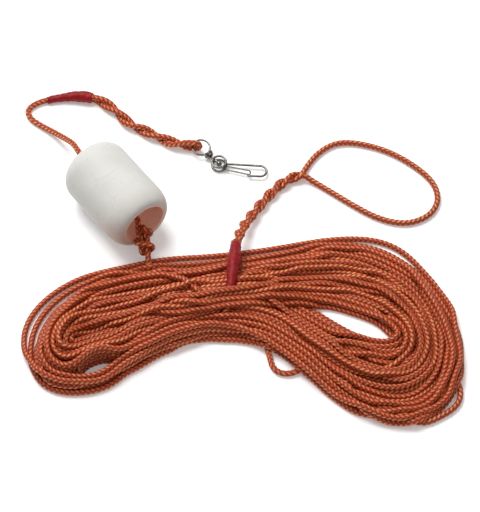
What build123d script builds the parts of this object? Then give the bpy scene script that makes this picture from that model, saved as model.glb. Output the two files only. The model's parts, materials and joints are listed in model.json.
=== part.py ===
from build123d import *
import math
import os

# Rescue line for a lifebuoy: 30 m of floating rope wound in a hank, with a foam float and a swivel snap
# hook at its outboard end and a spliced hand loop at its inboard end. Millimetres, +Z up. It lies as it
# is stored, on a flat surface at Z = 0, and the finished part stands with its box centred over the origin.

# ---- Driving dimensions --------------------------------------------------------------------------------
ROPE_D = 6.0              # floating braided rope
SPLICE_D = 2 * ROPE_D     # two stretches of the rope laid round each other
CLEAR = 0.3               # gap between curved faces that touch
HANK_HEIGHT = 21.0        # between three and four layers of rope
HANK_EDGE_R = 7.0         # how round the heap of turns is at its top edge
KNOT_D = 18.0             # figure-eight stopper knot

FLOAT_D = 70.0
FLOAT_L = 96.0
FLOAT_AZIMUTH = -52.3     # direction of the float's open end
FLOAT_FAR_STEP = 14.0     # the shoulder at the closed end: how far it comes in
FLOAT_FAR_TAPER = 17.0    # and over what length
FLOAT_NEAR_STEP = 9.5     # the shoulder at the open end, the same
FLOAT_NEAR_TAPER = 20.0
FLOAT_BORE_D = 12.0       # the rope runs through it with room to slide
RECESS_D = 46.0           # the stopper knot draws into it
RECESS_DEPTH = 22.0

TAPE_WALL = 0.7           # adhesive tape over the rope and the splice's end
TAPE_CLEAR = 0.1

HOOK_WIRE_D = 2.4
HOOK_AZIMUTH = -4.0       # direction of the hook's long arm
EYE_R = 7.2               # to the middle of the wire
EYE_HALF_GAP = 3.1        # from the hook's middle plane to the middle of each turn of its eye
EYE_TIE = 1.3             # the two turns are tied at the long arm and at the gate's post
ARM_L = 42.3              # from the eye's centre to the bend
BEND_R = 6.5
STUB_L = 11.8             # straight end that the gate closes against
GATE_WIRE_D = 1.5
GATE_COIL_R = 1.8         # to the middle of the wire, round the post
GATE_POST_CLEAR = 0.1     # running clearance of the coil on the post
GATE_TURN_GAP = 0.04      # between the gate's two coiled turns
GATE_POST_ANGLE = -38.0   # round the eye, from the long arm

RING_R = 9.0              # to the middle of the wire
RING_WIRE_D = 2.0
RING_REACH = 26.0         # from the eye's centre to the ring's
RING_AZIMUTH = 135.0
RING_RISE = 5.7           # degrees: the ring rests on the rope that passes under it
COIL_WIRE_D = 2.5
COIL_REACHES = (12.9, 15.1)   # where the ring's two coiled turns lie along the swivel pin
COIL_RADII = (3.0, 3.9)
PIN_BALL_R = 2.8
PIN_NECK_R = 1.0
PIN_HEAD_R = 2.4
PIN_HEAD_SPAN = (14.3, 15.7)

EYE_BIGHT_R = 4.4         # the rope's turn round the ring
GRIP_ANGLE = 33.0         # where on the ring it grips, from the swivel's own direction
EYE_LEG_L = 7.0

# ---- Places: the layout's own zero is near the middle of the hank -------------------------------------
FLOAT_CENTRE = Vector(-123.8, 105.2, FLOAT_D / 2)
HOOK_CENTRE = Vector(-20.8, 162.8, EYE_HALF_GAP + HOOK_WIRE_D / 2)


def heading(azimuth, rise=0.0):
    """The unit vector at an azimuth, counted from +X towards +Y, and a rise above the horizon."""
    a, r = math.radians(azimuth), math.radians(rise)
    return Vector(math.cos(a) * math.cos(r), math.sin(a) * math.cos(r), math.sin(r))


SWIVEL = heading(RING_AZIMUTH, RING_RISE)
SWIVEL_SIDE = heading(RING_AZIMUTH - 90)
RING_CENTRE = HOOK_CENTRE + SWIVEL * RING_REACH
GRIP_OUT = SWIVEL * math.cos(math.radians(GRIP_ANGLE)) - SWIVEL_SIDE * math.sin(math.radians(GRIP_ANGLE))
GRIP = RING_CENTRE + GRIP_OUT * RING_R
GRIP_TANGENT = SWIVEL * math.sin(math.radians(GRIP_ANGLE)) + SWIVEL_SIDE * math.cos(math.radians(GRIP_ANGLE))
EYE_BACK = Vector(GRIP_OUT.X, GRIP_OUT.Y, 0).normalized()    # the way the rope leaves the ring

HOOK_SPLICE_ROUTE = [
    GRIP + EYE_BACK * EYE_LEG_L,
    Vector(-66, 187.5, 6.6), Vector(-79, 192.5, 6.1), Vector(-97, 203, 6), Vector(-109, 207.5, 6),
    Vector(-122, 219, 6), Vector(-133, 230.3, 6), Vector(-145, 239.6, 6),
]
LEAD_ROUTE = [
    Vector(-142.5, 238.8, 6), Vector(-156, 243, 5.8), Vector(-175, 243.6, 4.8), Vector(-192, 240.4, 3.9),
    Vector(-204.5, 236, 3.2), Vector(-211.8, 228, 3.1), Vector(-211.3, 218, 3.1), Vector(-203, 210.5, 3.3),
    Vector(-188, 198.5, 8.5), Vector(-176, 185.5, 17), Vector(-167, 171.5, 27), Vector(-160, 152.7, 32.3),
    Vector(-146, 133.9, 32.8), Vector(-121.5, 102.3, 32.7), Vector(-107, 83.5, 32.5), Vector(-98, 70, 28),
]
KNOT_TOP = Vector(-98.5, 71, 28.6)
KNOT_FOOT = Vector(-92.5, 43, 13.0)
TAIL_ROUTE = [
    Vector(-12, -22, 18.5), Vector(-10.5, -9.5, 25.6), Vector(-8, 8, 27.2), Vector(-6, 28, 27.4),
    Vector(-4.4, 49, 24.6), Vector(-3.3, 54, 23.4),
]
LOOP_SPLICE_ROUTE = [
    Vector(-4.0, 52, 24.8), Vector(0, 70, 18.5), Vector(7, 88, 11), Vector(17, 106, 6.6),
    Vector(29, 123, 6), Vector(41, 137, 6), Vector(52, 145, 6), Vector(63, 148.5, 6),
]
LOOP_FAR_SIDE = [
    Vector(61, 149.6, 5), Vector(70, 163.5, 3.2), Vector(81, 177, 3.1), Vector(96, 186.5, 3.1),
    Vector(112, 187.8, 3.1), Vector(131, 183, 3.1), Vector(151, 175, 3.1), Vector(170, 161.5, 3.1),
    Vector(187, 145.5, 3.1),
]
LOOP_NEAR_SIDE = [
    Vector(61.5, 146, 5), Vector(74, 140.5, 3.2), Vector(92, 127, 3.1), Vector(112, 112, 3.1),
    Vector(134, 97, 3.1), Vector(155, 90, 3.1), Vector(174, 91, 3.1), Vector(190, 101, 3.1),
    Vector(197, 116, 3.1), Vector(195.5, 131, 3.1), Vector(187, 145.5, 3.1),
]
HANK_OUTLINE = [
    (-221, -53), (-212, -26), (-199, -5), (-181, 12), (-163, 23), (-140, 32), (-98, 45), (-56, 49),
    (-13, 51), (22, 57), (63, 74), (104, 80), (137, 75), (165, 59), (190, 34), (208, 5), (217, -21),
    (226, -45), (227, -72), (223, -100), (218, -122), (206, -140), (193, -152), (152, -159), (127, -148),
    (96, -120), (58, -95), (28, -68), (5, -59), (-25, -58), (-56, -67), (-102, -93), (-133, -113),
    (-158, -122), (-188, -113), (-208, -84),
]
HANK_GAP = [(82, -22), (112, -24), (136, -34), (146, -47), (124, -46), (100, -37)]


# ---- The rope -----------------------------------------------------------------------------------------
def corner_radii(route):
    """Each corner's radius: as large as its two runs allow."""
    radii = []
    for before, corner, after in zip(route, route[1:], route[2:]):
        into, out = corner - before, after - corner
        half_turn = math.radians(into.get_angle(out)) / 2
        radii.append(0.45 * min(into.length, out.length) / math.tan(half_turn))
    return radii


def round_bar(path, diameter):
    """A bar of one diameter along a path, checked against its section times its length."""
    start = Plane(origin=path @ 0, z_dir=path % 0)
    bar = sweep(start * Circle(diameter / 2), path=path)
    ideal = math.pi * diameter ** 2 / 4 * path.length
    print(f"  length {path.length:7.1f}, volume over section times length {bar.volume / ideal:.4f}")
    return bar


def rope(route, diameter=ROPE_D):
    radii = corner_radii(route)
    print("  radii", " ".join(f"{r:.0f}" for r in radii))
    return round_bar(FilletPolyline(*route, radius=radii), diameter)


def rope_eye():
    """The bight that holds the ring: over its wire, down inside the ring and back beneath it."""
    over, under = Vector(0, 0, EYE_BIGHT_R), Vector(0, 0, -EYE_BIGHT_R)
    leg = EYE_BACK * EYE_LEG_L
    path = Wire([
        Line(GRIP + over + leg, GRIP + over),
        ThreePointArc(GRIP + over, GRIP - EYE_BACK * EYE_BIGHT_R, GRIP + under),
        Line(GRIP + under, GRIP + under + leg),
    ])
    return round_bar(path, ROPE_D)


def stopper_knot():
    """The knot's outer shape: a barrel from the float's mouth down to the hank."""
    length = (KNOT_FOOT - KNOT_TOP).length
    top_r, foot_r = 0.75 * ROPE_D, ROPE_D
    profile = make_face(Wire([
        Line((0, 0), (top_r, 0)),
        ThreePointArc((top_r, 0), (KNOT_D / 2, length / 2), (foot_r, length)),
        Line((foot_r, length), (0, length)),
        Line((0, length), (0, 0)),
    ]))
    barrel = revolve(Plane.XZ * profile, Axis.Z)
    return Plane(origin=KNOT_TOP, z_dir=KNOT_FOOT - KNOT_TOP) * barrel


def hank():
    """The heap of turns: its outline on the floor, its rounded top edge and the gap in its wide end."""
    outline = make_face(Spline(*HANK_OUTLINE, periodic=True))
    gap = make_face(Spline(*HANK_GAP, periodic=True))
    heap = extrude(outline, HANK_HEIGHT)
    heap = fillet(heap.faces().sort_by(Axis.Z)[-1].edges(), HANK_EDGE_R)
    return heap - extrude(gap, HANK_HEIGHT)


def tape(route, thin_d, thick_d, rope_inside):
    """Tape wound over a stretch of rope, from the single rope at the route's start to the splice."""
    wraps = Part()
    for i, (start, end) in enumerate(zip(route, route[1:])):
        at = [i / (len(route) - 1), (i + 1) / (len(route) - 1)]
        r0, r1 = [(thin_d + (thick_d - thin_d) * share) / 2 for share in at]
        run = end - start
        cone = Pos(0, 0, run.length / 2) * Cone(r0, r1, run.length)
        wraps += Plane(origin=start, z_dir=run) * cone
        if i:
            wraps += Pos(start) * Sphere(r0)
    return wraps - rope_inside


# ---- The float ----------------------------------------------------------------------------------------
def float_body():
    """A moulded foam barrel, revolved: through bore, rounded shoulders and a recess at the open end."""
    r, bore, recess = FLOAT_D / 2, FLOAT_BORE_D / 2, RECESS_D / 2
    far, near = -FLOAT_L / 2, FLOAT_L / 2
    far_flat, near_flat = r - FLOAT_FAR_STEP, r - FLOAT_NEAR_STEP
    far_arc = EllipticalCenterArc((far_flat, far + FLOAT_FAR_TAPER), FLOAT_FAR_STEP, FLOAT_FAR_TAPER, 270, arc_size=90)
    near_arc = EllipticalCenterArc((near_flat, near - FLOAT_NEAR_TAPER), FLOAT_NEAR_STEP, FLOAT_NEAR_TAPER, 0, arc_size=90)
    section = make_face(Wire([
        Line((bore, far), (far_flat, far)),
        far_arc,
        Line((r, far + FLOAT_FAR_TAPER), (r, near - FLOAT_NEAR_TAPER)),
        near_arc,
        Line((near_flat, near), (recess, near)),
        Line((recess, near), (recess, near - RECESS_DEPTH)),
        Line((recess, near - RECESS_DEPTH), (bore, near - RECESS_DEPTH)),
        Line((bore, near - RECESS_DEPTH), (bore, far)),
    ]))
    barrel = revolve(Plane.XZ * section, Axis.Z)
    return Plane(origin=FLOAT_CENTRE, z_dir=heading(FLOAT_AZIMUTH)) * barrel


# ---- The swivel and the hook: each built along its own X ------------------------------------------------
SWIVEL_PLANE = Plane(origin=HOOK_CENTRE, x_dir=SWIVEL, z_dir=SWIVEL.cross(SWIVEL_SIDE) * -1)
HOOK_PLANE = Plane(origin=HOOK_CENTRE, x_dir=heading(HOOK_AZIMUTH), z_dir=(0, 0, 1))
GATE_POST = (EYE_R * math.cos(math.radians(GATE_POST_ANGLE)), EYE_R * math.sin(math.radians(GATE_POST_ANGLE)))
GATE_POST_R = GATE_COIL_R - GATE_WIRE_D / 2 - GATE_POST_CLEAR
GATE_END = (
    ARM_L - STUB_L,
    -2 * BEND_R + HOOK_WIRE_D / 2 + CLEAR + GATE_COIL_R + GATE_WIRE_D / 2,
)


def rod(start, end, diameter):
    """A straight round rod between two points."""
    start, end = Vector(*start), Vector(*end)
    run = end - start
    return Plane(origin=start, z_dir=run) * (Pos(0, 0, run.length / 2) * Cylinder(diameter / 2, run.length))


def swivel_ring():
    """One wire: a ring for the rope, its two ends brought together and coiled round the pin."""
    ring = Pos(RING_REACH, 0, 0) * Torus(RING_R, RING_WIRE_D / 2)
    for reach, radius in zip(COIL_REACHES, COIL_RADII):
        ring += Pos(reach, 0, 0) * Rot(0, 90, 0) * Torus(radius, COIL_WIRE_D / 2)
    side = COIL_RADII[-1]
    ring_reach = RING_REACH - math.sqrt(RING_R ** 2 - side ** 2)
    for y in (-side, side):
        ring += rod((COIL_REACHES[-1], y, 0), (ring_reach, y, 0), RING_WIRE_D)
    return SWIVEL_PLANE * ring


def swivel_pin():
    """A ball inside the hook's eye, a neck out between its two turns, and a head held in the coil."""
    start, end = PIN_HEAD_SPAN
    pin = Sphere(PIN_BALL_R)
    pin += rod((0, 0, 0), (end, 0, 0), 2 * PIN_NECK_R)
    pin += rod((start, 0, 0), (end, 0, 0), 2 * PIN_HEAD_R)
    return SWIVEL_PLANE * pin


def hook_wire():
    """One bent wire: a two-turn eye, the long arm, the bend and the short end the gate closes on."""
    bend = (ARM_L, -BEND_R)
    path = Wire([
        Line((EYE_R, 0), (ARM_L, 0)),
        ThreePointArc((ARM_L, 0), (bend[0] + BEND_R, bend[1]), (ARM_L, -2 * BEND_R)),
        Line((ARM_L, -2 * BEND_R), (ARM_L - STUB_L, -2 * BEND_R)),
    ])
    wire = round_bar(path, HOOK_WIRE_D)
    wire += Pos(ARM_L - STUB_L, -2 * BEND_R, 0) * Sphere(HOOK_WIRE_D / 2)
    eye = Pos(0, 0, EYE_HALF_GAP) * Torus(EYE_R, HOOK_WIRE_D / 2)
    for angle in (0, GATE_POST_ANGLE):
        eye += Rot(0, 0, angle) * Pos(EYE_R, 0, 0) * Box(EYE_TIE, EYE_TIE, 2 * EYE_HALF_GAP)
    eye += Pos(0, 0, -EYE_HALF_GAP) * Torus(EYE_R, HOOK_WIRE_D / 2)
    wire += eye
    between_turns = 2 * EYE_HALF_GAP - HOOK_WIRE_D - 2 * CLEAR
    wire += Pos(*GATE_POST, 0) * Cylinder(GATE_POST_R, between_turns)
    return HOOK_PLANE * wire


def hook_gate():
    """A sprung loop of thinner wire, coiled round the post in the eye and closing inside the short end."""
    along = (Vector(*GATE_END) - Vector(*GATE_POST)).normalized()
    across = Vector(-along.Y, along.X)
    lift = Vector(0, 0, (GATE_WIRE_D + GATE_TURN_GAP) / 2)    # the two coiled turns lie on each other
    halves = []
    for side in (-1, 1):
        post = Vector(*GATE_POST) + lift * side
        tip = Vector(*GATE_END) + lift * side
        leave = across * side * GATE_COIL_R
        halves.append((
            ThreePointArc(post + along * GATE_COIL_R, post - (along + across * side).normalized() * GATE_COIL_R,
                          post + leave),
            Line(post + leave, tip + leave),
            tip + leave,
        ))
    turn_end = Vector(*GATE_END) + along * (halves[0][2] - halves[1][2]).length / 2
    (coil_a, wire_a, end_a), (coil_b, wire_b, end_b) = halves
    path = Wire([coil_a, wire_a, ThreePointArc(end_a, turn_end, end_b), wire_b, coil_b])
    gate = round_bar(path, GATE_WIRE_D)
    return HOOK_PLANE * gate


# ---- Assembly -----------------------------------------------------------------------------------------
def build():
    nodes = {}
    print("line_eye")
    nodes["line_eye"] = rope_eye()
    print("line_hook_splice")
    nodes["line_hook_splice"] = rope(HOOK_SPLICE_ROUTE, SPLICE_D) - nodes["line_eye"]
    print("line_lead")
    lead = rope(LEAD_ROUTE)
    nodes["line_lead"] = lead - nodes["line_hook_splice"]
    print("line_hank")
    nodes["line_hank"] = hank()
    nodes["line_knot"] = stopper_knot() - lead - nodes["line_hank"]
    print("line_loop_splice")
    nodes["line_loop_splice"] = rope(LOOP_SPLICE_ROUTE, SPLICE_D)
    print("line_tail")
    tail = rope(TAIL_ROUTE)
    nodes["line_tail"] = tail - nodes["line_hank"] - nodes["line_loop_splice"]
    print("line_hand_loop")
    sides = [rope(side) - nodes["line_loop_splice"] for side in (LOOP_FAR_SIDE, LOOP_NEAR_SIDE)]
    nodes["line_hand_loop"] = sides[0] + sides[1]

    thin_d, thick_d = ROPE_D + 2 * TAPE_WALL, SPLICE_D
    bore_d = ROPE_D + 2 * TAPE_CLEAR
    hook_end = LEAD_ROUTE[:4]
    hook_end.reverse()
    nodes["hook_tape"] = tape(hook_end, thin_d, thick_d, rope(LEAD_ROUTE, bore_d))
    nodes["hook_tape"] -= nodes["line_hook_splice"]
    nodes["loop_tape"] = tape(TAIL_ROUTE[1:5], thin_d, thick_d, rope(TAIL_ROUTE, bore_d))
    nodes["loop_tape"] = nodes["loop_tape"] - nodes["line_hank"] - nodes["line_loop_splice"]

    nodes["float"] = float_body()
    nodes["swivel_ring"] = swivel_ring()
    nodes["swivel_pin"] = swivel_pin()
    nodes["hook_wire"] = hook_wire()
    nodes["hook_gate"] = hook_gate()
    return nodes


def place(nodes):
    """Moves the layout so that its box stands centred over the origin, and prints the joints' places."""
    boxes = [solid.bounding_box() for solid in nodes.values()]
    low = [min(getattr(box.min, axis) for box in boxes) for axis in "XYZ"]
    high = [max(getattr(box.max, axis) for box in boxes) for axis in "XYZ"]
    shift = Vector(-(low[0] + high[0]) / 2, -(low[1] + high[1]) / 2, -low[2])
    print("box", low, high, "shift", shift)
    points = {
        "float_spin": FLOAT_CENTRE,
        "ring_swing": GRIP,
        "pin_swivel": HOOK_CENTRE,
        "gate_hinge": (HOOK_PLANE * Pos(*GATE_POST, 0)).position,
        "bend inside": (HOOK_PLANE * Pos(ARM_L - 2.5, -BEND_R, 0)).position,
        "loop inside": Vector(135, 140, ROPE_D / 2),
        "recess middle": FLOAT_CENTRE + heading(FLOAT_AZIMUTH) * (FLOAT_L - RECESS_DEPTH) / 2,
    }
    for name, point in points.items():
        print(f"{name:14}", [round(v / 1000, 5) for v in (point + shift)])
    directions = {"float": heading(FLOAT_AZIMUTH), "swivel": SWIVEL, "grip": GRIP_TANGENT}
    for name, way in directions.items():
        print(f"{name:14}", [round(v, 6) for v in way.normalized()])
    return {name: Pos(shift) * solid for name, solid in nodes.items()}


os.makedirs("parts", exist_ok=True)
for node_name, node in place(build()).items():
    export_step(node, f"parts/{node_name}.step")
    print(f"{node_name:18} {len(node.solids())} solid, {node.volume:9.0f} mm3")
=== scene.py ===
# %% [markdown]
# # Lifebuoy rescue line
# A rescue line is thrown to somebody in the water. This one is a hank of orange floating rope. At one end
# of the rope are a foam float and a swivel snap hook, and at the other is a spliced hand loop.
#
# The frame holds the object's measured parts: the float, the hook's four wires, and plain tubes that say
# where the rope and the tape are. The float and the wires are used as they come. The rope is laid afresh
# here, because what makes a hank look real is how its turns lie on each other.

import json
import math

import bpy
import numpy as np
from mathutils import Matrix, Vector, kdtree


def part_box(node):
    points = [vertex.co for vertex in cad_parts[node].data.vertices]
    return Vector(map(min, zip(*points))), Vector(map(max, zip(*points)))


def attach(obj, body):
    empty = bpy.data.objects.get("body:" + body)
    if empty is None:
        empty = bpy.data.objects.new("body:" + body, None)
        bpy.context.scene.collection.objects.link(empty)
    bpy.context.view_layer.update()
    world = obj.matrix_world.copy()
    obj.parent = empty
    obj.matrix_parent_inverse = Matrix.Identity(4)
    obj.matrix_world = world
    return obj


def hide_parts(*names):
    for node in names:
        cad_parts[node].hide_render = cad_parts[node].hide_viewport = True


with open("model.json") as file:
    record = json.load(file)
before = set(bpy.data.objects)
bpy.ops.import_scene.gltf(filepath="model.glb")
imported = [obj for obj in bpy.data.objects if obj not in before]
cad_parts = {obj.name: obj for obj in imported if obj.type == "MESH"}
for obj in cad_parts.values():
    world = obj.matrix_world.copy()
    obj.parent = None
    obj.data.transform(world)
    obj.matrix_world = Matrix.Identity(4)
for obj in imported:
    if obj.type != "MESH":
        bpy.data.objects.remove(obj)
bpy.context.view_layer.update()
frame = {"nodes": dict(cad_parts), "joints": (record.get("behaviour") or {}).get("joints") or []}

# %% [markdown]
# ## Sizes and places
# The routes below are in millimetres, in a layout whose zero is near the middle of the hank. That is easier
# to think in than the frame's metres. The float is in both, so it says where the layout's zero is.

# %% Sizes
MM = 0.001
ROPE_D = 6.0
ROPE_R = ROPE_D / 2
FLOAT_CENTRE = Vector((-123.8, 105.2, 35.0))

low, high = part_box("float")
ORIGIN = (Vector(low) + Vector(high)) / 2 - FLOAT_CENTRE / 1000
print("layout's zero in the frame", tuple(ORIGIN))


def to_frame(points):
    """Layout millimetres to the frame's metres."""
    return np.asarray(points, dtype=float) / 1000 + np.array(ORIGIN)


def joint_of(name):
    """What the frame says of one joint."""
    return next(joint for joint in frame["joints"] if joint["name"] == name)


# %% [markdown]
# ## Camera
# A thing that lies on the ground is best seen from above and a little in front, so the camera looks down at
# 56 degrees. It stands far away behind a long lens, so that near and far turns of the rope look as thick.

# %% Camera
VIEW_RISE = math.radians(56)
VIEW_DISTANCE = 3.6
VIEW_HEIGHT = 0.512       # metres that the picture is high, at the aim
VIEW_AIM = (0, 53.1, 0)
SENSOR = 36
CLIP_END = 20

camera_data = bpy.data.cameras.new("camera")
camera_data.sensor_width = SENSOR
camera_data.lens = SENSOR * VIEW_DISTANCE / VIEW_HEIGHT
camera_data.clip_end = CLIP_END
camera = bpy.data.objects.new("camera", camera_data)
back = Vector((0, -math.cos(VIEW_RISE), math.sin(VIEW_RISE)))
camera.location = Vector(to_frame(VIEW_AIM)) + back * VIEW_DISTANCE
camera.rotation_euler = (-back).to_track_quat("-Z", "Y").to_euler()
bpy.context.scene.collection.objects.link(camera)
bpy.context.scene.camera = camera
print("lens", round(camera_data.lens), "mm")

# %% [markdown]
# ## Light and floor
# One large light stands behind the object on the left, and draws out the strands by the shade between them.
# A weak one in front and a white world keep the shadows pale. Both lights are large, as a studio's soft
# boxes are: small ones would throw hard shadows and leave bright dots on the nickel.

# %% Light
WORLD_STRENGTH = 0.42


def area_light(name, place, size, power):
    """A soft square light that faces the object's middle."""
    data = bpy.data.lights.new(name, "AREA")
    data.size = size
    data.energy = power
    light = bpy.data.objects.new(name, data)
    light.location = place
    light.rotation_euler = (Vector((0, 0, 0)) - Vector(place)).to_track_quat("-Z", "Y").to_euler()
    bpy.context.scene.collection.objects.link(light)
    print("light", name, power, "W")


area_light("key", (-0.6, 0.9, 1.8), 1.3, 52)
area_light("fill", (0.9, -1.2, 1.3), 1.2, 4)
world = bpy.data.worlds.new("studio")
world.use_nodes = True
background = world.node_tree.nodes["Background"]
background.inputs["Color"].default_value = (1, 1, 1, 1)
background.inputs["Strength"].default_value = WORLD_STRENGTH
bpy.context.scene.world = world
bpy.context.scene.view_settings.view_transform = "Standard"

# %% Floor
FLOOR_SIZE = 6
FLOOR_GAP = 0.0002        # the floor is just under the rope, so that the two faces don't fight

bpy.ops.mesh.primitive_plane_add(size=FLOOR_SIZE, location=(0, 0, -FLOOR_GAP))
floor = bpy.context.object
floor.name = "studio_floor"

# %% [markdown]
# ## Materials
# Each material is named for what it is and how it is made, and starts from the values usual for that. The
# patterns' sizes are in millimetres on the object. Three helpers keep the node trees short: one turns a hex
# colour to the shader's numbers, one starts a material, and one adds a node with its settings and links.

# %% Material helpers
def srgb(code):
    """A hex colour as the shader's linear numbers."""
    parts = [int(code[i:i + 2], 16) / 255 for i in (1, 3, 5)]
    linear = [part / 12.92 if part <= 0.04045 else ((part + 0.055) / 1.055) ** 2.4 for part in parts]
    return (*linear, 1)


def material(name, **settings):
    """A principled material: its tree, its shader, and plain numbers set on the shader's own sockets."""
    made = bpy.data.materials.new(name)
    made.use_nodes = True
    shader = made.node_tree.nodes["Principled BSDF"]
    for socket, value in settings.items():
        shader.inputs[socket.replace("_", " ")].default_value = value
    print("material", name)
    return made, made.node_tree, shader


def add(tree, kind, *sources, named=None, output=0, **settings):
    """Adds a node with its settings. Its inputs are linked or set, in their order or by name or number, and
    one of its outputs comes back."""
    made = tree.nodes.new("ShaderNode" + kind)
    for key, value in settings.items():
        setattr(made, key, value)
    for socket, source in [*enumerate(sources), *(named or {}).items()]:
        if isinstance(source, bpy.types.NodeSocket):
            tree.links.new(source, made.inputs[socket])
        elif source is not None:
            made.inputs[socket].default_value = source
    return made.outputs[output]


# a Mix node for colours has its share on input 0, its colours on 6 and 7, and its result on output 2
OF_COLOURS = {"data_type": "RGBA", "output": 2}

# %% [markdown]
# ## Floor paper
# A studio's paper sweep is matt and nearly white. A little light of its own keeps it evenly pale, where a
# brighter lamp would wash out the rope as well.

# %% Floor paper
paper, _, _ = material("pale studio paper", Base_Color=srgb("#F4F4F4"), Roughness=0.9,
                       Emission_Color=srgb("#FFFFFF"), Emission_Strength=0.16)
floor.data.materials.append(paper)

# %% [markdown]
# ## Braided rope
# The rope is polypropylene, which floats: a smooth, slightly waxy plastic drawn into yarns. Three yarns lie
# side by side in a strand, and four strands wind each way round. Each passes over two of the others and
# then under two, so what shows is a herringbone of short slanting lozenges. The shade in the gaps between
# them is painted dark, and the highlights on the yarns' crowns are painted pale.
#
# A picture of rope could be wrapped on, but it would blur and could not turn with the braid. Here the
# rope's UV map gives the turn round the rope and the length along it in lays, and a strand is a straight
# line on that map. Sums on the two say which strand is on top, how far a point is from its middle line, and
# how far it is along its float, as weavers call the stretch that lies on top.

# %% Braid sums
STRANDS_EACH_WAY = 4
YARNS = 3                 # yarns laid side by side in each strand
REPEAT = 4.0              # over two strands and under two
A_STARTS, B_STARTS = 0.5, -1.5                  # where each way's float starts in the repeat
STRAND_ROUND, FLOAT_ROUND = 0.6, 0.5            # lower is flatter on top, with steeper sides


def braid_nodes(tree):
    """The height of a strand and of its yarns at a point, whether it is the second way's strand that is on
    top, and the yarn's own cell."""
    place = add(tree, "UVMap", uv_map="Braid")
    turn, lay, _ = add(tree, "SeparateXYZ", place).node.outputs
    a = add(tree, "Math", add(tree, "Math", turn, lay, operation="ADD"), float(STRANDS_EACH_WAY),
            operation="MULTIPLY")
    b = add(tree, "Math", add(tree, "Math", turn, lay, operation="SUBTRACT"), float(STRANDS_EACH_WAY),
            operation="MULTIPLY")
    strand_a, strand_b = (add(tree, "Math", way, operation="ROUND") for way in (a, b))
    off_a = add(tree, "Math", a, strand_a, operation="SUBTRACT")
    off_b = add(tree, "Math", b, strand_b, operation="SUBTRACT")

    # at the crossings 0 and 1 of each repeat the first way is on top, at 2 and 3 the second
    crossing = add(tree, "Math", strand_a, strand_b, operation="ADD")
    crossing = add(tree, "Math", crossing, REPEAT, operation="FLOORED_MODULO")
    on_top = add(tree, "Math", crossing, 1.5, operation="GREATER_THAN")
    across = add(tree, "Mix", on_top, None, off_a, off_b)

    # the place along the float of each way's strand: -1 and 1 are its ends
    floats = []
    for own, other, start in ((strand_a, b, A_STARTS), (strand_b, a, B_STARTS)):
        along = add(tree, "Math", add(tree, "Math", own, other, operation="ADD"), start, operation="ADD")
        floats.append(add(tree, "Math", along, REPEAT, operation="FLOORED_MODULO"))
    along = add(tree, "Math", add(tree, "Mix", on_top, None, *floats), 1.0, operation="SUBTRACT")

    # a strand is round across, and dips at both ends of its float
    heights = []
    for part, swing, power in ((across, math.pi, STRAND_ROUND), (along, math.pi / 2, FLOAT_ROUND)):
        height = add(tree, "Math", add(tree, "Math", part, swing, operation="MULTIPLY"), operation="COSINE")
        height = add(tree, "Math", height, 0.0, operation="MAXIMUM")
        heights.append(add(tree, "Math", height, power, operation="POWER"))
    strand = add(tree, "Math", *heights, operation="MULTIPLY")

    yarn_place = add(tree, "Math", across, float(YARNS), operation="MULTIPLY")
    yarn = add(tree, "Math", yarn_place, 2 * math.pi, operation="MULTIPLY")
    yarn = add(tree, "Math", add(tree, "Math", yarn, operation="COSINE"), 0.5, operation="MULTIPLY")
    yarn = add(tree, "Math", yarn, 0.5, operation="ADD")
    yarn_number = add(tree, "Math", yarn_place, operation="ROUND")
    return strand, yarn, on_top, add(tree, "CombineXYZ", strand_a, strand_b, yarn_number)


# %% Braided rope
ORANGE_DEEP, ORANGE_BRIGHT = "#BC2C0A", "#D44814"
ORANGE_DARK = "#932408"   # the darkest yarns
CROWN_HIGHLIGHT = "#FFC472"         # painted highlight: pale flecks where a yarn's crown would face the light
# painted shade in the gaps between the strands
GAP_SHADE = "#3C0D03"
FADING = 45 * MM          # the dye is faded in patches of about this size
DARK_MOST = 0.5
HIGHLIGHT_NARROW, HIGHLIGHT_SHORT = 1.5, 2.5            # on its yarn, and on its strand
HIGHLIGHT_LEAST, HIGHLIGHT_CHANCE = 0.35, 1.1
HIGHLIGHT_FIRST, HIGHLIGHT_SECOND = 1.1, 0.65           # the painted highlight is brighter on one way's strands, as if they caught more light
GAP_SHADE_WIDTH = 0.8
STRAND_SHARE, YARN_SHARE = 0.7, 0.3             # of the bump
BRAID_BUMP = 0.45 * MM


def painted_crown_highlights(tree, strand, yarn, on_top, chance):
    """How much painted highlight a point has: none in the gaps, and most on a few yarns' crowns."""
    narrow = add(tree, "Math", yarn, HIGHLIGHT_NARROW, operation="POWER")
    short = add(tree, "Math", strand, HIGHLIGHT_SHORT, operation="POWER")
    highlight = add(tree, "Math", narrow, short, operation="MULTIPLY")
    bright = add(tree, "Math", chance, HIGHLIGHT_CHANCE, operation="MULTIPLY")
    bright = add(tree, "Math", bright, HIGHLIGHT_LEAST, operation="ADD")
    highlight = add(tree, "Math", highlight, bright, operation="MULTIPLY")
    way = add(tree, "Mix", on_top, None, HIGHLIGHT_FIRST, HIGHLIGHT_SECOND)
    highlight = add(tree, "Math", highlight, way, operation="MULTIPLY")
    return add(tree, "Math", highlight, 1.0, operation="MINIMUM")


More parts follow.
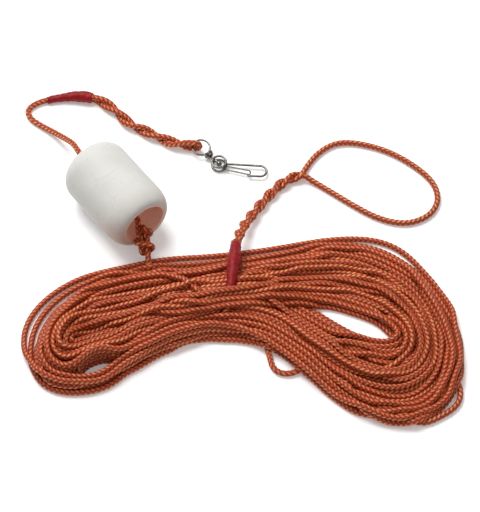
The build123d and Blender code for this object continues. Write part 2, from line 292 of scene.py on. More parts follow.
def braided_rope():
    """Braided polypropylene rope: a painted highlight on each yarn's crown, so that each strand shows as
    pale flecks between gaps of painted shade. Real yarns are finer than these: they are as coarse as they
    need to show."""
    made, tree, shader = material("braided polypropylene rope", Roughness=0.5, Specular_IOR_Level=0.35)
    strand, yarn, on_top, cell = braid_nodes(tree)
    chance = add(tree, "TexWhiteNoise", cell, output="Value")
    place = add(tree, "TexCoord", output="Object")
    fading = add(tree, "TexNoise", output="Fac", named={"Vector": place, "Scale": 1 / FADING})
    orange = add(tree, "Mix", named={0: fading, 6: srgb(ORANGE_DEEP), 7: srgb(ORANGE_BRIGHT)}, **OF_COLOURS)
    dark = add(tree, "Math", chance, DARK_MOST, operation="MULTIPLY")
    orange = add(tree, "Mix", named={0: dark, 6: orange, 7: srgb(ORANGE_DARK)}, **OF_COLOURS)
    # painted highlights on the yarns' crowns, as pale flecks in the colour
    highlight = painted_crown_highlights(tree, strand, yarn, on_top, chance)
    orange = add(tree, "Mix", named={0: highlight, 6: orange, 7: srgb(CROWN_HIGHLIGHT)}, **OF_COLOURS)
    # painted shade between the strands, darker where the strand's height falls off
    gap_shade = add(tree, "Math", strand, GAP_SHADE_WIDTH, operation="POWER")
    gap_shade = add(tree, "Math", 1.0, gap_shade, operation="SUBTRACT")
    orange = add(tree, "Mix", named={0: gap_shade, 6: orange, 7: srgb(GAP_SHADE)}, **OF_COLOURS)
    tree.links.new(orange, shader.inputs["Base Color"])

    height = add(tree, "Math", add(tree, "Math", strand, STRAND_SHARE, operation="MULTIPLY"),
                 add(tree, "Math", yarn, YARN_SHARE, operation="MULTIPLY"), operation="ADD")
    normal = add(tree, "Bump", named={"Distance": BRAID_BUMP, "Height": height})
    tree.links.new(normal, shader.inputs["Normal"])
    return made


ROPE = braided_rope()

# %% [markdown]
# ## Where the hank's turns go
# The rope is coiled into a long hank, which lies in a curve: narrow in the middle and spread at its ends.
# Drawing every turn by hand would be slow and hard to keep even. Instead a ring of stations says where the
# innermost and the outermost lane pass, and each turn takes a place between them that changes as it goes
# round. A few turns lie apart from the others, as they do in any heap of rope, and their places are listed.

# %% Lanes
# each station: the innermost lane, the outermost lane, and how much higher the run lies when it is thrown
# down, since the far run falls on the near one
HANK_STATIONS = [
    ((-174, -56), (-196, -62), 0), ((-167, -44), (-173, -12), 4), ((-138, -38), (-141, 19), 12),
    ((-96, -33), (-92, 32), 18), ((-54, -26), (-62, 31), 18), ((-18, -20), (-30, 39), 18),
    ((30, -14), (36, 51), 14), ((78, -6), (96, 65), 6), ((122, -18), (142, 60), 0),
    ((150, -34), (182, 26), 0), ((160, -50), (219, -50), 0), ((152, -54), (212, -116), 0),
    ((126, -52), (172, -153), 0), ((84, -30), (111, -137), 0), ((36, 6), (46, -64), 0),
    ((0, 16), (4, -43), 0), ((-46, 2), (-44, -43), 0), ((-94, -30), (-98, -69), 0),
    ((-134, -46), (-139, -105), 0), ((-158, -60), (-180, -110), 0), ((-173, -66), (-198, -92), 0),
]
STATIONS = len(HANK_STATIONS)
TURNS = 31
FIRST_STATION = 4         # the first turn starts at the waist, under the knot
STATIONS_LEFT_OUT = 16    # of the last turn, which leaves under the loop's tape
HANK_START = [(-91.5, 38, 10.5), (-88, 33, 8), (-78, 31, 6)]
HANK_END = [(-20, -38, 20), (-12, -22, 18.5)]

# turns that lie apart: (turn, first station, how many stations, places instead of theirs)
OUTER_TURNS = [
    (29, 0, 11, [(-217, -58), (-207, -14), (-164, 25), (-110, 38), (-78, 47), (-25, 50), (30, 58), (96, 73),
                 (150, 70), (184, 34), (217, -36)]),
    (27, 0, 3, [(-209, -60), (-198, -18), (-158, 21)]),
    (24, 3, 3, [(-95, 36), (-60, 40), (-25, 42)]),
]
STRAY_LOOPS = [
    (8, 14, 1, [(60, -84), (50, -91), (35, -89), (27, -77), (33, -62), (24, -48)]),
    (14, 11, 2, [(208, -94), (219, -112), (210, -130), (190, -137), (166, -148)]),
]
print(TURNS, "turns past", STATIONS, "stations")

# %% Turns
SEED = 11
WANDER = 0.1              # how far a turn strays from its own lane, as a share of the run's width
WANDER_WINDOW = 15        # stations over which it strays and comes back
WANDER_MARGIN = 20
OUTERMOST = 1.3           # a lane past all the others
TURN_RISE = 1.6           # how far each turn starts above the last


def lane_shares():
    """Each turn's place at each station, from 0 for the innermost to 1: every station is evenly filled."""
    rng = np.random.default_rng(SEED)
    own_lane = rng.permutation(TURNS + 1) / TURNS
    for turn, _, _, _ in OUTER_TURNS:
        own_lane[turn:turn + 2] = OUTERMOST
    drift = np.linspace(0, 1, STATIONS, endpoint=False)
    own_lane = own_lane[:-1, None] * (1 - drift) + own_lane[1:, None] * drift
    wander = rng.normal(0, 1, TURNS * STATIONS + 2 * WANDER_MARGIN)
    window = np.hanning(WANDER_WINDOW)
    wander = np.convolve(wander, window / np.linalg.norm(window), mode="same")
    wander = wander[WANDER_MARGIN:WANDER_MARGIN + TURNS * STATIONS]
    share = own_lane + WANDER * wander.reshape(TURNS, STATIONS)
    return (share.argsort(axis=0).argsort(axis=0) + 0.5) / TURNS


def turn_points():
    """The hank's control points, from the knot to the loop's tape."""
    share = lane_shares()
    points = []
    for turn in range(TURNS):
        for station, (inner, outer, lift) in enumerate(HANK_STATIONS):
            inner, outer = np.array(inner), np.array(outer)
            x, y = inner + (outer - inner) * share[turn, station]
            points.append([(x, y, ROPE_R + lift + TURN_RISE * (turn + station / STATIONS))])
    for turn, first_station, count, places in OUTER_TURNS + STRAY_LOOPS:
        start = turn * STATIONS + first_station
        heights = np.interp(np.linspace(0, count, len(places)), range(count + 1),
                            [points[start + step][0][2] for step in range(count + 1)])
        points[start:start + count] = [[]] * count
        points[start] = [(x, y, z) for (x, y), z in zip(places, heights)]
    points = [point for places in points[FIRST_STATION:-STATIONS_LEFT_OUT] for point in places]
    return HANK_START + points + HANK_END


# %% [markdown]
# ## From points to an even line
# A NURBS spline runs smoothly near its control points without overshooting, as a limp rope does, where a
# Bezier spline would need its handles set one by one. Blender works out the spline as a mesh, and its
# vertices are then spread evenly, because both the fall and the mesh need points at even steps.

# %% Splines
def resample(points, step):
    """Points at even steps along a run of points."""
    points = np.asarray(points, dtype=float)
    along = np.concatenate(([0], np.cumsum(np.linalg.norm(np.diff(points, axis=0), axis=1))))
    count = max(2, int(round(along[-1] / step)) + 1)
    at = np.linspace(0, along[-1], count)
    return np.stack([np.interp(at, along, points[:, axis]) for axis in range(3)], axis=1)


def spline_line(points, resolution=6):
    """The line of a NURBS spline with these control points."""
    curve = bpy.data.curves.new("route", "CURVE")
    curve.dimensions = "3D"
    spline = curve.splines.new("NURBS")
    spline.points.add(len(points) - 1)
    corners = np.ones((len(points), 4))
    corners[:, :3] = points
    spline.points.foreach_set("co", corners.ravel())
    spline.order_u = 3
    spline.use_endpoint_u = True
    spline.resolution_u = resolution
    route = bpy.data.objects.new("route", curve)
    mesh = bpy.data.meshes.new_from_object(route)
    line = np.empty(3 * len(mesh.vertices))
    mesh.vertices.foreach_get("co", line)
    bpy.data.objects.remove(route)
    bpy.data.meshes.remove(mesh)
    bpy.data.curves.remove(curve)
    return line.reshape(-1, 3)


SAMPLE = 4.0              # between the points that fall
hank_line = resample(spline_line(turn_points(), 12), SAMPLE)
print("hank before it falls:", len(hank_line), "points")

# %% [markdown]
# ## The fall
# Real turns lie where they fell: each rests on the ones below it and in the grooves between them. Blender's
# own cloth and rigid bodies could do this, but they need baking and are slow with thousands of touching
# stretches. This is the same idea in a few lines. All the points sink a little at each step. Then three
# rules are applied again and again: neighbours along the rope keep their distance, no two stretches come
# nearer than the rope's diameter, and nothing goes into the floor or into the places that stay open.

# %% Near pairs
def near_pairs(points, reach, skip):
    """Pairs of points that are near each other, though far apart along the rope."""
    tree = kdtree.KDTree(len(points))
    for index, point in enumerate(points):
        tree.insert(point, index)
    tree.balance()
    first, second = [], []
    for index, point in enumerate(points):
        for _, other, _ in tree.find_range(point, reach):
            if other > index + skip:
                first.append(index)
                second.append(other)
    return np.array(first), np.array(second)


# %% Lengths and distances
PUSH = 0.3                # how much of an overlap is taken out at a time
HARDLY = 0.01             # a distance that is too small to have a direction


def keep_lengths(points, step):
    """Brings neighbours along the rope back to their distance, every second pair at a time."""
    for start in (0, 1):
        a, b = points[start:-1:2], points[start + 1::2]
        run = b - a
        length = np.linalg.norm(run, axis=1, keepdims=True)
        push = run * (length - step) / (2 * length)
        a += push
        b -= push


def keep_apart(points, first, second):
    """Pushes pairs apart that are nearer than the rope's diameter."""
    run = points[second] - points[first]
    length = np.linalg.norm(run, axis=1)
    close = length < ROPE_D
    first, second, run, length = first[close], second[close], run[close], length[close, None]
    push = run / np.maximum(length, HARDLY) * (ROPE_D - length) * PUSH
    for axis in range(3):
        points[:, axis] += np.bincount(second, push[:, axis], len(points))
        points[:, axis] -= np.bincount(first, push[:, axis], len(points))


def straighten(points, share):
    """Moves each point towards the middle of its neighbours, because a rope doesn't like to bend."""
    points[1:-1] += share * ((points[:-2] + points[2:]) / 2 - points[1:-1])


# %% Places that stay open
# middle, half sizes, turn in degrees, and how far forward of the middle the turns part, as a share of the
# half width
HOLES = [((-140, -84.5), (18, 10), 29, 0.7), ((112, -28), (39, 9.5), -25, 0)]
HOLE_MIDDLE = 0.05        # nearer than this a point has no way out of its own


def keep_holes_open(points, parting=False):
    """Moves points out of each hole, away from its middle, or at first from the line where turns part."""
    for middle, half, turned, forward in HOLES:
        angle = math.radians(turned)
        way = np.array([[math.cos(angle), math.sin(angle)], [-math.sin(angle), math.cos(angle)]])
        local = (points[:, :2] - middle) @ way.T / half
        if parting:
            local[:, 1] += forward
        reach = np.maximum(np.linalg.norm(local, axis=1, keepdims=True), HOLE_MIDDLE)
        out = local * (1 / reach - 1)
        points[:, :2] += np.where(reach < 1, out * half @ way, 0)


# %% Drop the turns
FALL_STEPS = 150
EASE_STEPS = 14           # at the end, to take out kinks
LANE_PULL = 0.11          # how much each point is drawn back above its lane
STIFFNESS = 0.2
EASE_STIFFNESS = 0.35
SINK, PRESS = 0.9, 0.05   # a step's fall: the part that dies out, and the part that stays
ROUNDS = 3                # of the rules, at each step
PAIRS_LAST = 8            # steps until the near pairs are looked for again
PAIR_MARGIN = 4
SKIP = 3                  # points along the rope that count as neighbours


def drop(points):
    """The heap that the turns make when they fall."""
    keep_holes_open(points, parting=True)
    keep_holes_open(points)
    lane = points.copy()
    ends = points[[0, -1]].copy()
    for step in range(FALL_STEPS):
        if step % PAIRS_LAST == 0:
            first, second = near_pairs(points, ROPE_D + PAIR_MARGIN, SKIP)
        settled = step / FALL_STEPS
        points[:, 2] -= SINK * (1 - settled) + PRESS
        points[:, :2] += LANE_PULL * (lane - points)[:, :2]
        straighten(points, STIFFNESS)
        for _ in range(ROUNDS):
            keep_lengths(points, SAMPLE)
            keep_apart(points, first, second)
            keep_holes_open(points)
            points[:, 2] = np.maximum(points[:, 2], ROPE_R)
        points[[0, -1]] = ends
    for _ in range(EASE_STEPS):
        straighten(points, EASE_STIFFNESS)
        keep_apart(points, first, second)
        keep_holes_open(points)
        points[:, 2] = np.maximum(points[:, 2], ROPE_R)
        points[[0, -1]] = ends
    return points


hank_line = drop(hank_line)
first, second = near_pairs(hank_line, ROPE_D, SKIP)
gaps = np.linalg.norm(hank_line[first] - hank_line[second], axis=1)
print("hank's top", hank_line[:, 2].max().round(1), "mm, closest stretches", gaps.min().round(2), "mm")

# %% [markdown]
# ## The rope's mesh
# A bevelled curve would give a plain round tube. In a braid the strands stand out, and that shows on the
# rope's edge, where a bump in the material can't. So the tube is built ring by ring round the line, and each
# point of a ring is further out where a strand lies on top. The rings must not twist along the line, or
# the braid would too, so each ring takes its direction from the one before.
#
# The tube carries two UV maps. Braid counts turns and lays, for the pattern. OFBake cuts the long tube
# into strips that lie side by side, so that each part of the rope has a place of its own to bake to.

# %% Directions across a line
def turning_frames(line):
    """Two directions across each point of a line, that don't twist along it."""
    ways = np.gradient(line, axis=0)
    ways /= np.linalg.norm(ways, axis=1, keepdims=True)
    side = np.cross(ways[0], (0, 0, 1))
    side /= np.linalg.norm(side)
    sides = [side]
    for way in ways[1:]:
        side = side - way * np.dot(side, way)
        side = side / np.linalg.norm(side)
        sides.append(side)
    sides = np.array(sides)
    return sides, np.cross(ways, sides)


# %% The map to bake to
STRIP_GIRTH = 2.2 * math.pi * ROPE_R            # the rope's girth, and a tenth for the margins
STRIP_MARGIN, STRIP_WIDTH = 0.05, 0.9           # as shares of the strip
END_MARGIN, END_WIDTH = 0.002, 0.996


def lay_strips(mesh, ring, place, rings, sides_round, length):
    """Strips of the tube, side by side, in a square."""
    strips = max(1, int(math.sqrt(length / STRIP_GIRTH)))
    per_strip = math.ceil((rings - 1) / strips)
    strip = np.repeat(ring[::4] // per_strip, 4)
    bake = np.stack([
        (strip + STRIP_MARGIN + STRIP_WIDTH * place / sides_round) / strips,
        END_MARGIN + END_WIDTH * (ring - strip * per_strip) / per_strip,
    ], axis=1)
    caps = np.zeros((2 * sides_round, 2))
    mesh.uv_layers.new(name="OFBake").data.foreach_set("uv", np.concatenate([bake, caps]).ravel())


# %% Tubes
def tube(name, line, radius_at, sides_round, pattern_at):
    """A closed tube round a line. radius_at gives the radius, and pattern_at the pattern's place, for an
    angle in turns and a length along the line."""
    across, up = turning_frames(line)
    along = np.concatenate(([0], np.cumsum(np.linalg.norm(np.diff(line, axis=0), axis=1))))
    turn = np.arange(sides_round) / sides_round
    angle = 2 * math.pi * turn
    radius = radius_at(turn[None, :], along[:, None])
    out = np.cos(angle)[None, :, None] * across[:, None] + np.sin(angle)[None, :, None] * up[:, None]
    points = line[:, None] + out * radius[:, :, None]

    rings = len(line)
    index = np.arange(rings * sides_round).reshape(rings, sides_round)
    after = np.roll(index, -1, axis=1)
    quads = np.stack([index[:-1], after[:-1], after[1:], index[1:]], axis=-1).reshape(-1, 4)
    faces = quads.tolist() + [index[0][::-1].tolist(), index[-1].tolist()]
    mesh = bpy.data.meshes.new(name)
    mesh.from_pydata(to_frame(points.reshape(-1, 3)).tolist(), [], faces)
    mesh.polygons.foreach_set("use_smooth", [True] * len(faces))

    ring, place = np.divmod(np.arange(len(quads)), sides_round)
    corner_ring = np.stack([ring, ring, ring + 1, ring + 1], axis=1).ravel()
    corner_place = np.stack([place, place + 1, place + 1, place], axis=1).ravel()
    pattern = pattern_at(corner_place / sides_round, along[corner_ring])
    caps = np.zeros((2 * sides_round, 2))
    mesh.uv_layers.new(name="Braid").data.foreach_set("uv", np.concatenate([pattern, caps]).ravel())
    lay_strips(mesh, corner_ring, corner_place, rings, sides_round, along[-1])
    mesh.uv_layers["Braid"].active_render = True
    mesh.uv_layers.active = mesh.uv_layers["Braid"]
    piece = bpy.data.objects.new(name, mesh)
    bpy.context.scene.collection.objects.link(piece)
    return piece


# %% Braided surface
SIDES = 16                # round the rope's mesh
RING_STEP = 1.5           # along it
LAY = 20.0                # a strand goes once round the rope in this length
RELIEF = 0.42             # how deep the braid is
RELIEF_RISE = 1.6         # how far the crowns stand out, as a share of it


def braid_radius(turn, along):
    """The rope's radius: largest on a strand's crown, and smallest between strands."""
    a = STRANDS_EACH_WAY * (turn + along / LAY)
    b = STRANDS_EACH_WAY * (turn - along / LAY)
    a, b = a - np.round(a), b - np.round(b)
    return ROPE_R - RELIEF + RELIEF * np.cos(math.pi * a) * np.cos(math.pi * b) * RELIEF_RISE


def braid_pattern(turn, along):
    """The place on the braid: turns round the rope, and lays along it."""
    return np.stack([turn, along / LAY], axis=1)


def rope_piece(name, line):
    """A stretch of the rope, fixed to the line's body."""
    piece = tube(name, line, braid_radius, SIDES, braid_pattern)
    piece.data.materials.append(ROPE)
    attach(piece, "line")
    return piece


# %% [markdown]
# ## The hank's pieces
# The hank is one length of rope. As one mesh it would be too heavy to work with, so it is cut into six
# pieces that meet end to end inside the heap.

# %% Hank pieces
PIECES = 6

rings = resample(spline_line(hank_line, 4), RING_STEP)
cuts = np.linspace(0, len(rings) - 1, PIECES + 1).round().astype(int)
for number, (start, end) in enumerate(zip(cuts, cuts[1:]), 1):
    piece = rope_piece(f"hank_rope_{number}", rings[start:end + 1])
    if number == 1:
        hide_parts("line_hank")

# %% [markdown]
# ## The hook end
# From the hank the rope runs through a stopper knot and the float, goes round, and is spliced round the
# ring of the swivel. A splice is made by turning the rope back and tucking its strands into itself, which
# looks like two ropes laid round each other. So it is drawn as one line that goes along a route in a
# helix, round the ring, and back in the same helix half a turn on.
#
# The routes are control points of a spline, as for the hank. The knot is a double overhand: down the
# middle, round twice upwards, and down through the middle again. It starts as a rough helix, and the rule
# that keeps the fallen turns apart then draws it into a knot that doesn't cut through itself.

# %% Splice and knot
HOOK_SPLICE_ROUTE = [
    (-56, 184.5, 7.6), (-66, 187.5, 6.6), (-79, 192.5, 6.1), (-97, 203.5, 6), (-109, 208.5, 6),
    (-121.5, 221, 6), (-131, 233.5, 6), (-145, 242.5, 6),
]
KNOT_TOP = (-98.5, 71, 28.6)
KNOT_FOOT = (-92.5, 43, 13.0)
# across, out and down from the knot's top
KNOT_DOWN = [(-2, 0, -5), (-3, 0, 3), (-3, 0, 13), (-3, 0, 25), (-4, -2, 31)]
KNOT_AGAIN = [(1, 4.5, 0), (3, 1, 2), (3, 0, 9), (3, 0, 19), (2.5, 0, 30), (0.5, 0, 36)]
KNOT_WRAPS = 1.7
WRAP_POINTS = 22
WRAP_START = 215          # degrees round the middle
WRAP_LOW, WRAP_HIGH = 29, 5
WRAP_WIDE, WRAP_WIDER, WRAP_DEEP = 6.2, 2.6, 6.0


def twist(line, radius, pitch, start_turn, per_turn=12):
    """A rope laid round a line: its points, so many to the turn."""
    line = resample(line, pitch / per_turn)
    across, up = turning_frames(line)
    angle = 2 * math.pi * (start_turn + np.arange(len(line)) / per_turn)[:, None]
    return line + radius * (np.cos(angle) * across - np.sin(angle) * up)


def knot(top, foot):
    """The control points of a loose double overhand."""
    axis = (np.array(foot) - np.array(top)) / np.linalg.norm(np.array(foot) - np.array(top))
    across = np.cross((0, 0, 1), axis)
    across /= np.linalg.norm(across)
    out = np.cross(axis, across)
    if out[2] < 0:
        out = -out
    wraps = []
    for step in range(WRAP_POINTS + 1):
        share = step / WRAP_POINTS
        angle = math.radians(WRAP_START + 360 * KNOT_WRAPS * share)
        wide = WRAP_WIDE + WRAP_WIDER * share
        wraps.append((wide * math.cos(angle), WRAP_DEEP * math.sin(angle),
                      WRAP_LOW - (WRAP_LOW - WRAP_HIGH) * share))
    local = np.array(KNOT_DOWN + wraps + KNOT_AGAIN)
    return np.array(top) + local[:, :1] * across + local[:, 1:2] * out + local[:, 2:] * axis


# %% Draw up the knot
KNOT_STEPS = 60
KNOT_SAMPLE = 2.0
KNOT_PULL = 0.02          # how much each point is drawn back to where it was
KNOT_MARGIN, KNOT_SKIP = 6, 4


def draw_up(points):
    """Pushes a rope's stretches apart where they lie in each other."""
    lane = points.copy()
    ends = points[[0, -1]].copy()
    first, second = near_pairs(points, ROPE_D + KNOT_MARGIN, KNOT_SKIP)
    for _ in range(KNOT_STEPS):
        points += KNOT_PULL * (lane - points)
        straighten(points, STIFFNESS)
        keep_apart(points, first, second)
        points[:, 2] = np.maximum(points[:, 2], ROPE_R)
        points[[0, -1]] = ends
    return points


stopper = draw_up(resample(spline_line(knot(KNOT_TOP, KNOT_FOOT)), KNOT_SAMPLE))
print("knot", np.ptp(stopper, axis=0).round(1), "mm")

# %% Round the ring
RING_WAYS = [(7, 4.4), (1.5, 4.9), (-7.2, 4.9), (-7.2, -4.5), (1.5, -4.6), (7, -4.2)]   # back, and up

grip = (np.array(joint_of("ring_swing")["pos_m"]) - np.array(ORIGIN)) * 1000
hook_splice = spline_line(HOOK_SPLICE_ROUTE)
away = hook_splice[0] - grip
away /= np.linalg.norm(away)
bight = [grip + away * back + np.array((0, 0, lift)) for back, lift in RING_WAYS]
print("the rope goes round the ring at", grip.round(1), "mm")

# %% Hook end
HOOK_PITCH = 54           # along the splice, once round
SPLICE_R = ROPE_R + 0.05
UNDER_HOOK_TAPE = [(-168, 247.5, 7.5), (-158, 246.5, 8.2)]
LEAD_ROUTE = [
    (-156, 245.5, 6.2), (-175, 247, 4.8), (-194, 245.5, 3.9), (-210, 240.5, 3.2), (-219, 231, 3.1),
    (-214.5, 220, 3.1), (-203, 211.5, 3.2), (-190, 201.5, 6), (-177.5, 187, 15), (-168, 172.5, 26),
    (-160, 152.7, 32.3), (-146, 133.9, 32.8), (-121.5, 102.3, 32.7), (-107, 83.5, 32.5),
]


def rope_end(name, points, nodes):
    """One end of the rope: its mesh, with the frame's parts for it hidden."""
    line = resample(spline_line(points), RING_STEP)
    piece = rope_piece(name, line)
    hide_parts(*nodes)


to_ring = twist(hook_splice, SPLICE_R, HOOK_PITCH, 0.25)[2:][::-1]
from_ring = twist(hook_splice, SPLICE_R, HOOK_PITCH, 0.75)[2:]
rope_end("hook_end_rope",
         np.vstack([UNDER_HOOK_TAPE, to_ring, bight, from_ring, LEAD_ROUTE, stopper[::2], HANK_START[:1]]),
         ["line_eye", "line_hook_splice", "line_lead", "line_knot"])

# %% [markdown]
# ## The hand-loop end
# Somebody on the ship holds the rope by this loop. It is spliced in the same way, with a shorter pitch: the
# rope comes up out of the hank, goes round the loop, and lies back along itself under the tape.

# %% Hand loop end
LOOP_PITCH = 34
LOOP_SPLICE_R = 2.7       # pulled a little tighter than the rope is round
TAIL_ROUTE = [(-10.5, -9.5, 25.6), (-8, 8, 27.2), (-6, 28, 27.4), (-4.4, 49, 24.6)]
LOOP_SPLICE_ROUTE = [
    (-4.0, 52, 24.8), (0, 70, 18.5), (7, 88, 11), (17, 106, 6.6), (29, 123, 6), (41, 137, 6),
    (52, 145, 6), (63, 148.5, 6),
]
HAND_LOOP_ROUTE = [
    (70, 164.5, 3.2), (81, 179, 3.1), (96, 189.5, 3.1), (113, 191, 3.1), (133, 186.5, 3.1),
    (153, 178.5, 3.1), (173, 165, 3.1), (190.5, 148.5, 3.1), (199, 133, 3.1), (200, 116, 3.1),
    (191.5, 100.5, 3.1), (174, 91, 3.1), (155, 91, 3.1), (134, 99, 3.1), (112, 114, 3.1), (92, 129, 3.1),
    (74, 142, 3.2),
]
UNDER_LOOP_TAPE = [(-7.5, 36, 28.5), (-9.5, 22, 28.5)]

loop_splice = spline_line(LOOP_SPLICE_ROUTE)
to_loop = twist(loop_splice, LOOP_SPLICE_R, LOOP_PITCH, 0.0)
from_loop = twist(loop_splice, LOOP_SPLICE_R, LOOP_PITCH, 0.5)[::-1]
rope_end("loop_end_rope",
         np.vstack([HANK_END[-1:], TAIL_ROUTE, to_loop, HAND_LOOP_ROUTE, from_loop, UNDER_LOOP_TAPE]),
         ["line_tail", "line_loop_splice", "line_hand_loop"])

# %% [markdown]
# ## Tape material
# Each splice ends under a winding of crimson vinyl tape. Vinyl is soft and smooth, so its gloss is broad
# and weak, and it creases where it is stretched round the rope. Noise in two sizes does for both: a coarse
# one for the colour and a fine one for the creases.

# %% Vinyl tape
TAPE_DARK, TAPE_LIGHT = "#6E0509", "#900B12"
TAPE_CLOUD = 6 * MM
TAPE_CREASE = 1.6 * MM    # real creases are finer: these are as coarse as they need to show
TAPE_BUMP = 0.35 * MM


def vinyl_tape():
    """Crimson vinyl tape: one even red with weak, broad gloss, broken by small creases."""
    made, tree, shader = material("crimson vinyl tape", Roughness=0.5, Specular_IOR_Level=0.2)
    place = add(tree, "TexCoord", output="Object")
    cloud = add(tree, "TexNoise", output="Fac", named={"Vector": place, "Scale": 1 / TAPE_CLOUD})
    red = add(tree, "Mix", named={0: cloud, 6: srgb(TAPE_DARK), 7: srgb(TAPE_LIGHT)}, **OF_COLOURS)
    tree.links.new(red, shader.inputs["Base Color"])
    crease = add(tree, "TexNoise", output="Fac", named={
        "Vector": place, "Scale": 1 / TAPE_CREASE, "Detail": 4})
    normal = add(tree, "Bump", named={"Distance": TAPE_BUMP, "Height": crease})
    tree.links.new(normal, shader.inputs["Normal"])
    return made


TAPE = vinyl_tape()

# %% [markdown]
# ## Tape windings
# Tape is wound along the rope, each turn half over the last, so its surface climbs by the tape's thickness
# once a turn and drops again at the tape's edge. A cylinder could be bent along the rope and cut for the
# edges. The rope's own tube does it with less: only the radius changes, with the place along the rope and
# the turn round it. It is thick in the middle, where it covers the splice, and thin at its ends.

# %% Tape windings
TAPE_SIDES = 36
TAPE_RING_STEP = 0.8
TAPE_TURN = 11.0          # along the rope, from one turn of the tape to the next
TAPE_STEP = 0.28          # the drop at the tape's edge
PINCH = 0.26              # how deep the tape is drawn in between the ropes
PINCH_PITCH, PINCH_WAVE = 9, 3.1


def tape(name, route, radii, node):
    """Tape wound along a stretch of the rope."""
    line = resample(spline_line(route), TAPE_RING_STEP)
    length = TAPE_RING_STEP * (len(line) - 1)

    def radius(turn, along):
        body = np.interp(along, np.linspace(0, length, len(radii)), radii)
        step = TAPE_STEP * np.mod(along / TAPE_TURN - turn, 1)
        pinch = PINCH * np.sin(2 * math.pi * (3 * turn + along / PINCH_PITCH)) * np.sin(along / PINCH_WAVE)
        return body + step + pinch

    def pattern(turn, along):
        return np.stack([turn, along / TAPE_TURN], axis=1)

    piece = tube(name, line, radius, TAPE_SIDES, pattern)
    piece.data.materials.append(TAPE)
    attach(piece, "line")
    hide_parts(node)
    print(name, "length", round(length, 1), "mm")


tape("hook_tape_wrap",
     [(-152, 244.5, 6.7), (-160, 246.7, 6.7), (-172, 247.3, 5.8), (-185, 246.4, 4.6), (-198, 243.7, 3.9)],
     (5.4, 5.8, 5.2, 4.3, 3.8, 3.6), "hook_tape")
tape("loop_tape_wrap",
     [(-3.9, 51, 24.6), (-4.8, 42, 26.2), (-6.2, 28, 27.6), (-8, 8, 27.4), (-10.5, -9, 25.8)],
     (4.9, 6.0, 6.5, 5.8, 4.6, 4.0), "loop_tape")

# %% [markdown]
# ## Foam float
# The float is moulded from closed-cell foam: off-white, matt, and finely pitted where it was skinned in
# the mould. At the end with the recess it turns orange-brown, most of all low down: partly a dye stain from
# the wet orange rope, and partly painted shade warmed by the orange light that the rope throws back. The
# recess is painted pale peach, as lit by the rope. The shape comes from the frame. The tint could be painted
# by hand, but it has a plain rule: it grows along the float's axis and towards the ground, and the recess is
# where a point is near the axis. The float's joint gives that axis, so the material measures from it.

# %% The rope's dye, painted shade and painted bounce light
# the dye's colour also stands for painted shade warmed by the rope's light; the recess's colour is painted
# light
DYE_AND_WARM_SHADE, RECESS_BOUNCE_LIGHT = "#BC927A", "#F4C8B2"
RECESS_R = 0.023
RECESS_SKIN = 0.0004      # just past its wall, so that the wall is inside
STAIN_AND_SHADE_STARTS, STAIN_AND_SHADE_FULL, STAIN_AND_SHADE_MOST = 0.01, 0.05, 0.8     # along the axis, from the float's middle
STAIN_AND_SHADE_HIGH, STAIN_AND_SHADE_LOW, STAIN_AND_SHADE_LEAST = 0.06, 0.012, 0.1      # above the ground


def dyed_and_shaded(tree, place, white):
    """The foam's colour with the rope's dye and painted warm shade on it, and the recess painted as lit by
    the rope.
    """
    spin = joint_of("float_spin")
    axis = tuple(spin["axis"])
    from_middle = add(tree, "VectorMath", place, tuple(spin["pos_m"]), operation="SUBTRACT")
    along = add(tree, "VectorMath", from_middle, axis, operation="DOT_PRODUCT", output="Value")
    # partly dye, partly painted warm shade: it grows along the axis and towards the ground
    stain_and_shade = add(tree, "MapRange", along, STAIN_AND_SHADE_STARTS, STAIN_AND_SHADE_FULL, 0.0, STAIN_AND_SHADE_MOST, clamp=True)
    low = add(tree, "SeparateXYZ", place, output=2)
    low = add(tree, "MapRange", low, STAIN_AND_SHADE_HIGH, STAIN_AND_SHADE_LOW, STAIN_AND_SHADE_LEAST, 1.0, clamp=True)
    stain_and_shade = add(tree, "Math", stain_and_shade, low, operation="MULTIPLY")
    white = add(tree, "Mix", named={0: stain_and_shade, 6: white, 7: srgb(DYE_AND_WARM_SHADE)}, **OF_COLOURS)
    # painted light: inside the recess, near the axis, the foam is coloured pale peach, as lit by the orange
    # rope
    outward = add(tree, "VectorMath", from_middle, axis, operation="CROSS_PRODUCT")
    outward = add(tree, "VectorMath", outward, operation="LENGTH", output="Value")
    inside = add(tree, "Math", add(tree, "Math", outward, RECESS_R + RECESS_SKIN, operation="LESS_THAN"),
                 add(tree, "Math", along, 0.0, operation="GREATER_THAN"), operation="MULTIPLY")
    return add(tree, "Mix", named={0: inside, 6: white, 7: srgb(RECESS_BOUNCE_LIGHT)}, **OF_COLOURS)


# %% Foam
FOAM_DARK, FOAM_LIGHT = "#B6B4AE", "#C8C8C4"
FOAM_CLOUD = 22 * MM
# painted shade along faint creases
CREASE_SHADE = "#8C8478"
CREASE_APART = 24 * MM    # from one faint crease to the next
CREASE_WIDTH = 0.008      # as a share of that
CREASE_CLOUD = 0.56       # they show only where the cloud is lighter than this
CREASE_SHADE_DEPTH = 0.3
FOAM_CELL = 1.1 * MM      # real cells are finer: these are as coarse as they need to show
FOAM_BUMP = 0.12 * MM


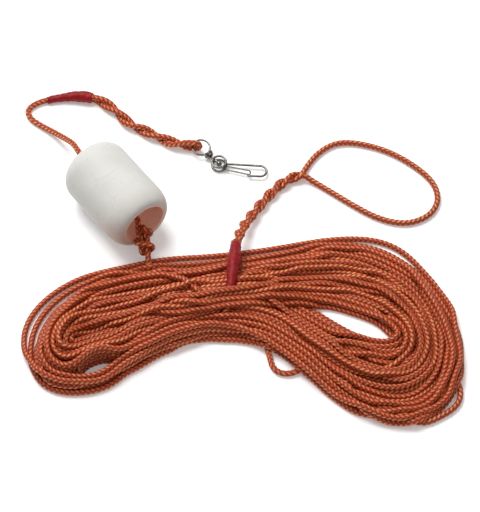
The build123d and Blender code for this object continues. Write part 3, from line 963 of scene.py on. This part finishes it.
def foam():
    """Moulded closed-cell foam: matt off-white because its cells scatter the light, with painted shade along
    faint creases.
    """
    made, tree, shader = material("moulded closed-cell foam", Roughness=0.62, Specular_IOR_Level=0.3)
    place = add(tree, "TexCoord", output="Object")
    cloud = add(tree, "TexNoise", output="Fac", named={
        "Vector": place, "Scale": 1 / FOAM_CLOUD, "Detail": 5})
    white = add(tree, "Mix", named={0: cloud, 6: srgb(FOAM_DARK), 7: srgb(FOAM_LIGHT)}, **OF_COLOURS)
    white = dyed_and_shaded(tree, place, white)
    # painted shade along faint creases, where the cloud is light
    crease = add(tree, "TexVoronoi", feature="DISTANCE_TO_EDGE", output="Distance", named={
        "Vector": place, "Scale": 1 / CREASE_APART})
    crease = add(tree, "Math", add(tree, "Math", crease, CREASE_WIDTH, operation="LESS_THAN"),
                 add(tree, "Math", cloud, CREASE_CLOUD, operation="GREATER_THAN"), operation="MULTIPLY")
    crease = add(tree, "Math", crease, CREASE_SHADE_DEPTH, operation="MULTIPLY")
    white = add(tree, "Mix", named={0: crease, 6: white, 7: srgb(CREASE_SHADE)}, **OF_COLOURS)
    tree.links.new(white, shader.inputs["Base Color"])
    cells = add(tree, "TexVoronoi", output="Distance", named={"Vector": place, "Scale": 1 / FOAM_CELL})
    normal = add(tree, "Bump", named={"Distance": FOAM_BUMP, "Height": cells})
    tree.links.new(normal, shader.inputs["Normal"])
    return made


frame["nodes"]["float"].material_slots[0].material = foam()

# %% [markdown]
# ## Nickel-plated wire
# The swivel and the hook are bent from steel wire with a thin coat of nickel. Nickel is a warm grey metal,
# fairly bright, that has dulled here in use. A plain metal would reflect only the white studio and look
# blank, so a cloud of darker and lighter grey and a fine bump break up its reflections.

# %% Nickel
NICKEL_DARK, NICKEL_LIGHT = "#42403C", "#8E8A84"
NICKEL_CLOUD = 3 * MM
NICKEL_MARK = 0.7 * MM    # real scratches are finer: these are as coarse as they need to show
NICKEL_BUMP = 0.05 * MM


def nickel():
    """Nickel-plated steel wire: sharp bright and dark lines along the wire, a little broken by wear."""
    made, tree, shader = material("nickel-plated steel wire", Metallic=1.0, Roughness=0.2)
    place = add(tree, "TexCoord", output="Object")
    cloud = add(tree, "TexNoise", output="Fac", named={
        "Vector": place, "Scale": 1 / NICKEL_CLOUD, "Detail": 4})
    metal = add(tree, "Mix", named={0: cloud, 6: srgb(NICKEL_DARK), 7: srgb(NICKEL_LIGHT)}, **OF_COLOURS)
    tree.links.new(metal, shader.inputs["Base Color"])
    marks = add(tree, "TexNoise", output="Fac", named={"Vector": place, "Scale": 1 / NICKEL_MARK})
    normal = add(tree, "Bump", named={"Distance": NICKEL_BUMP, "Height": marks})
    tree.links.new(normal, shader.inputs["Normal"])
    return made


NICKEL = nickel()
for node in ("swivel_ring", "swivel_pin", "hook_wire", "hook_gate"):
    frame["nodes"][node].material_slots[0].material = NICKEL
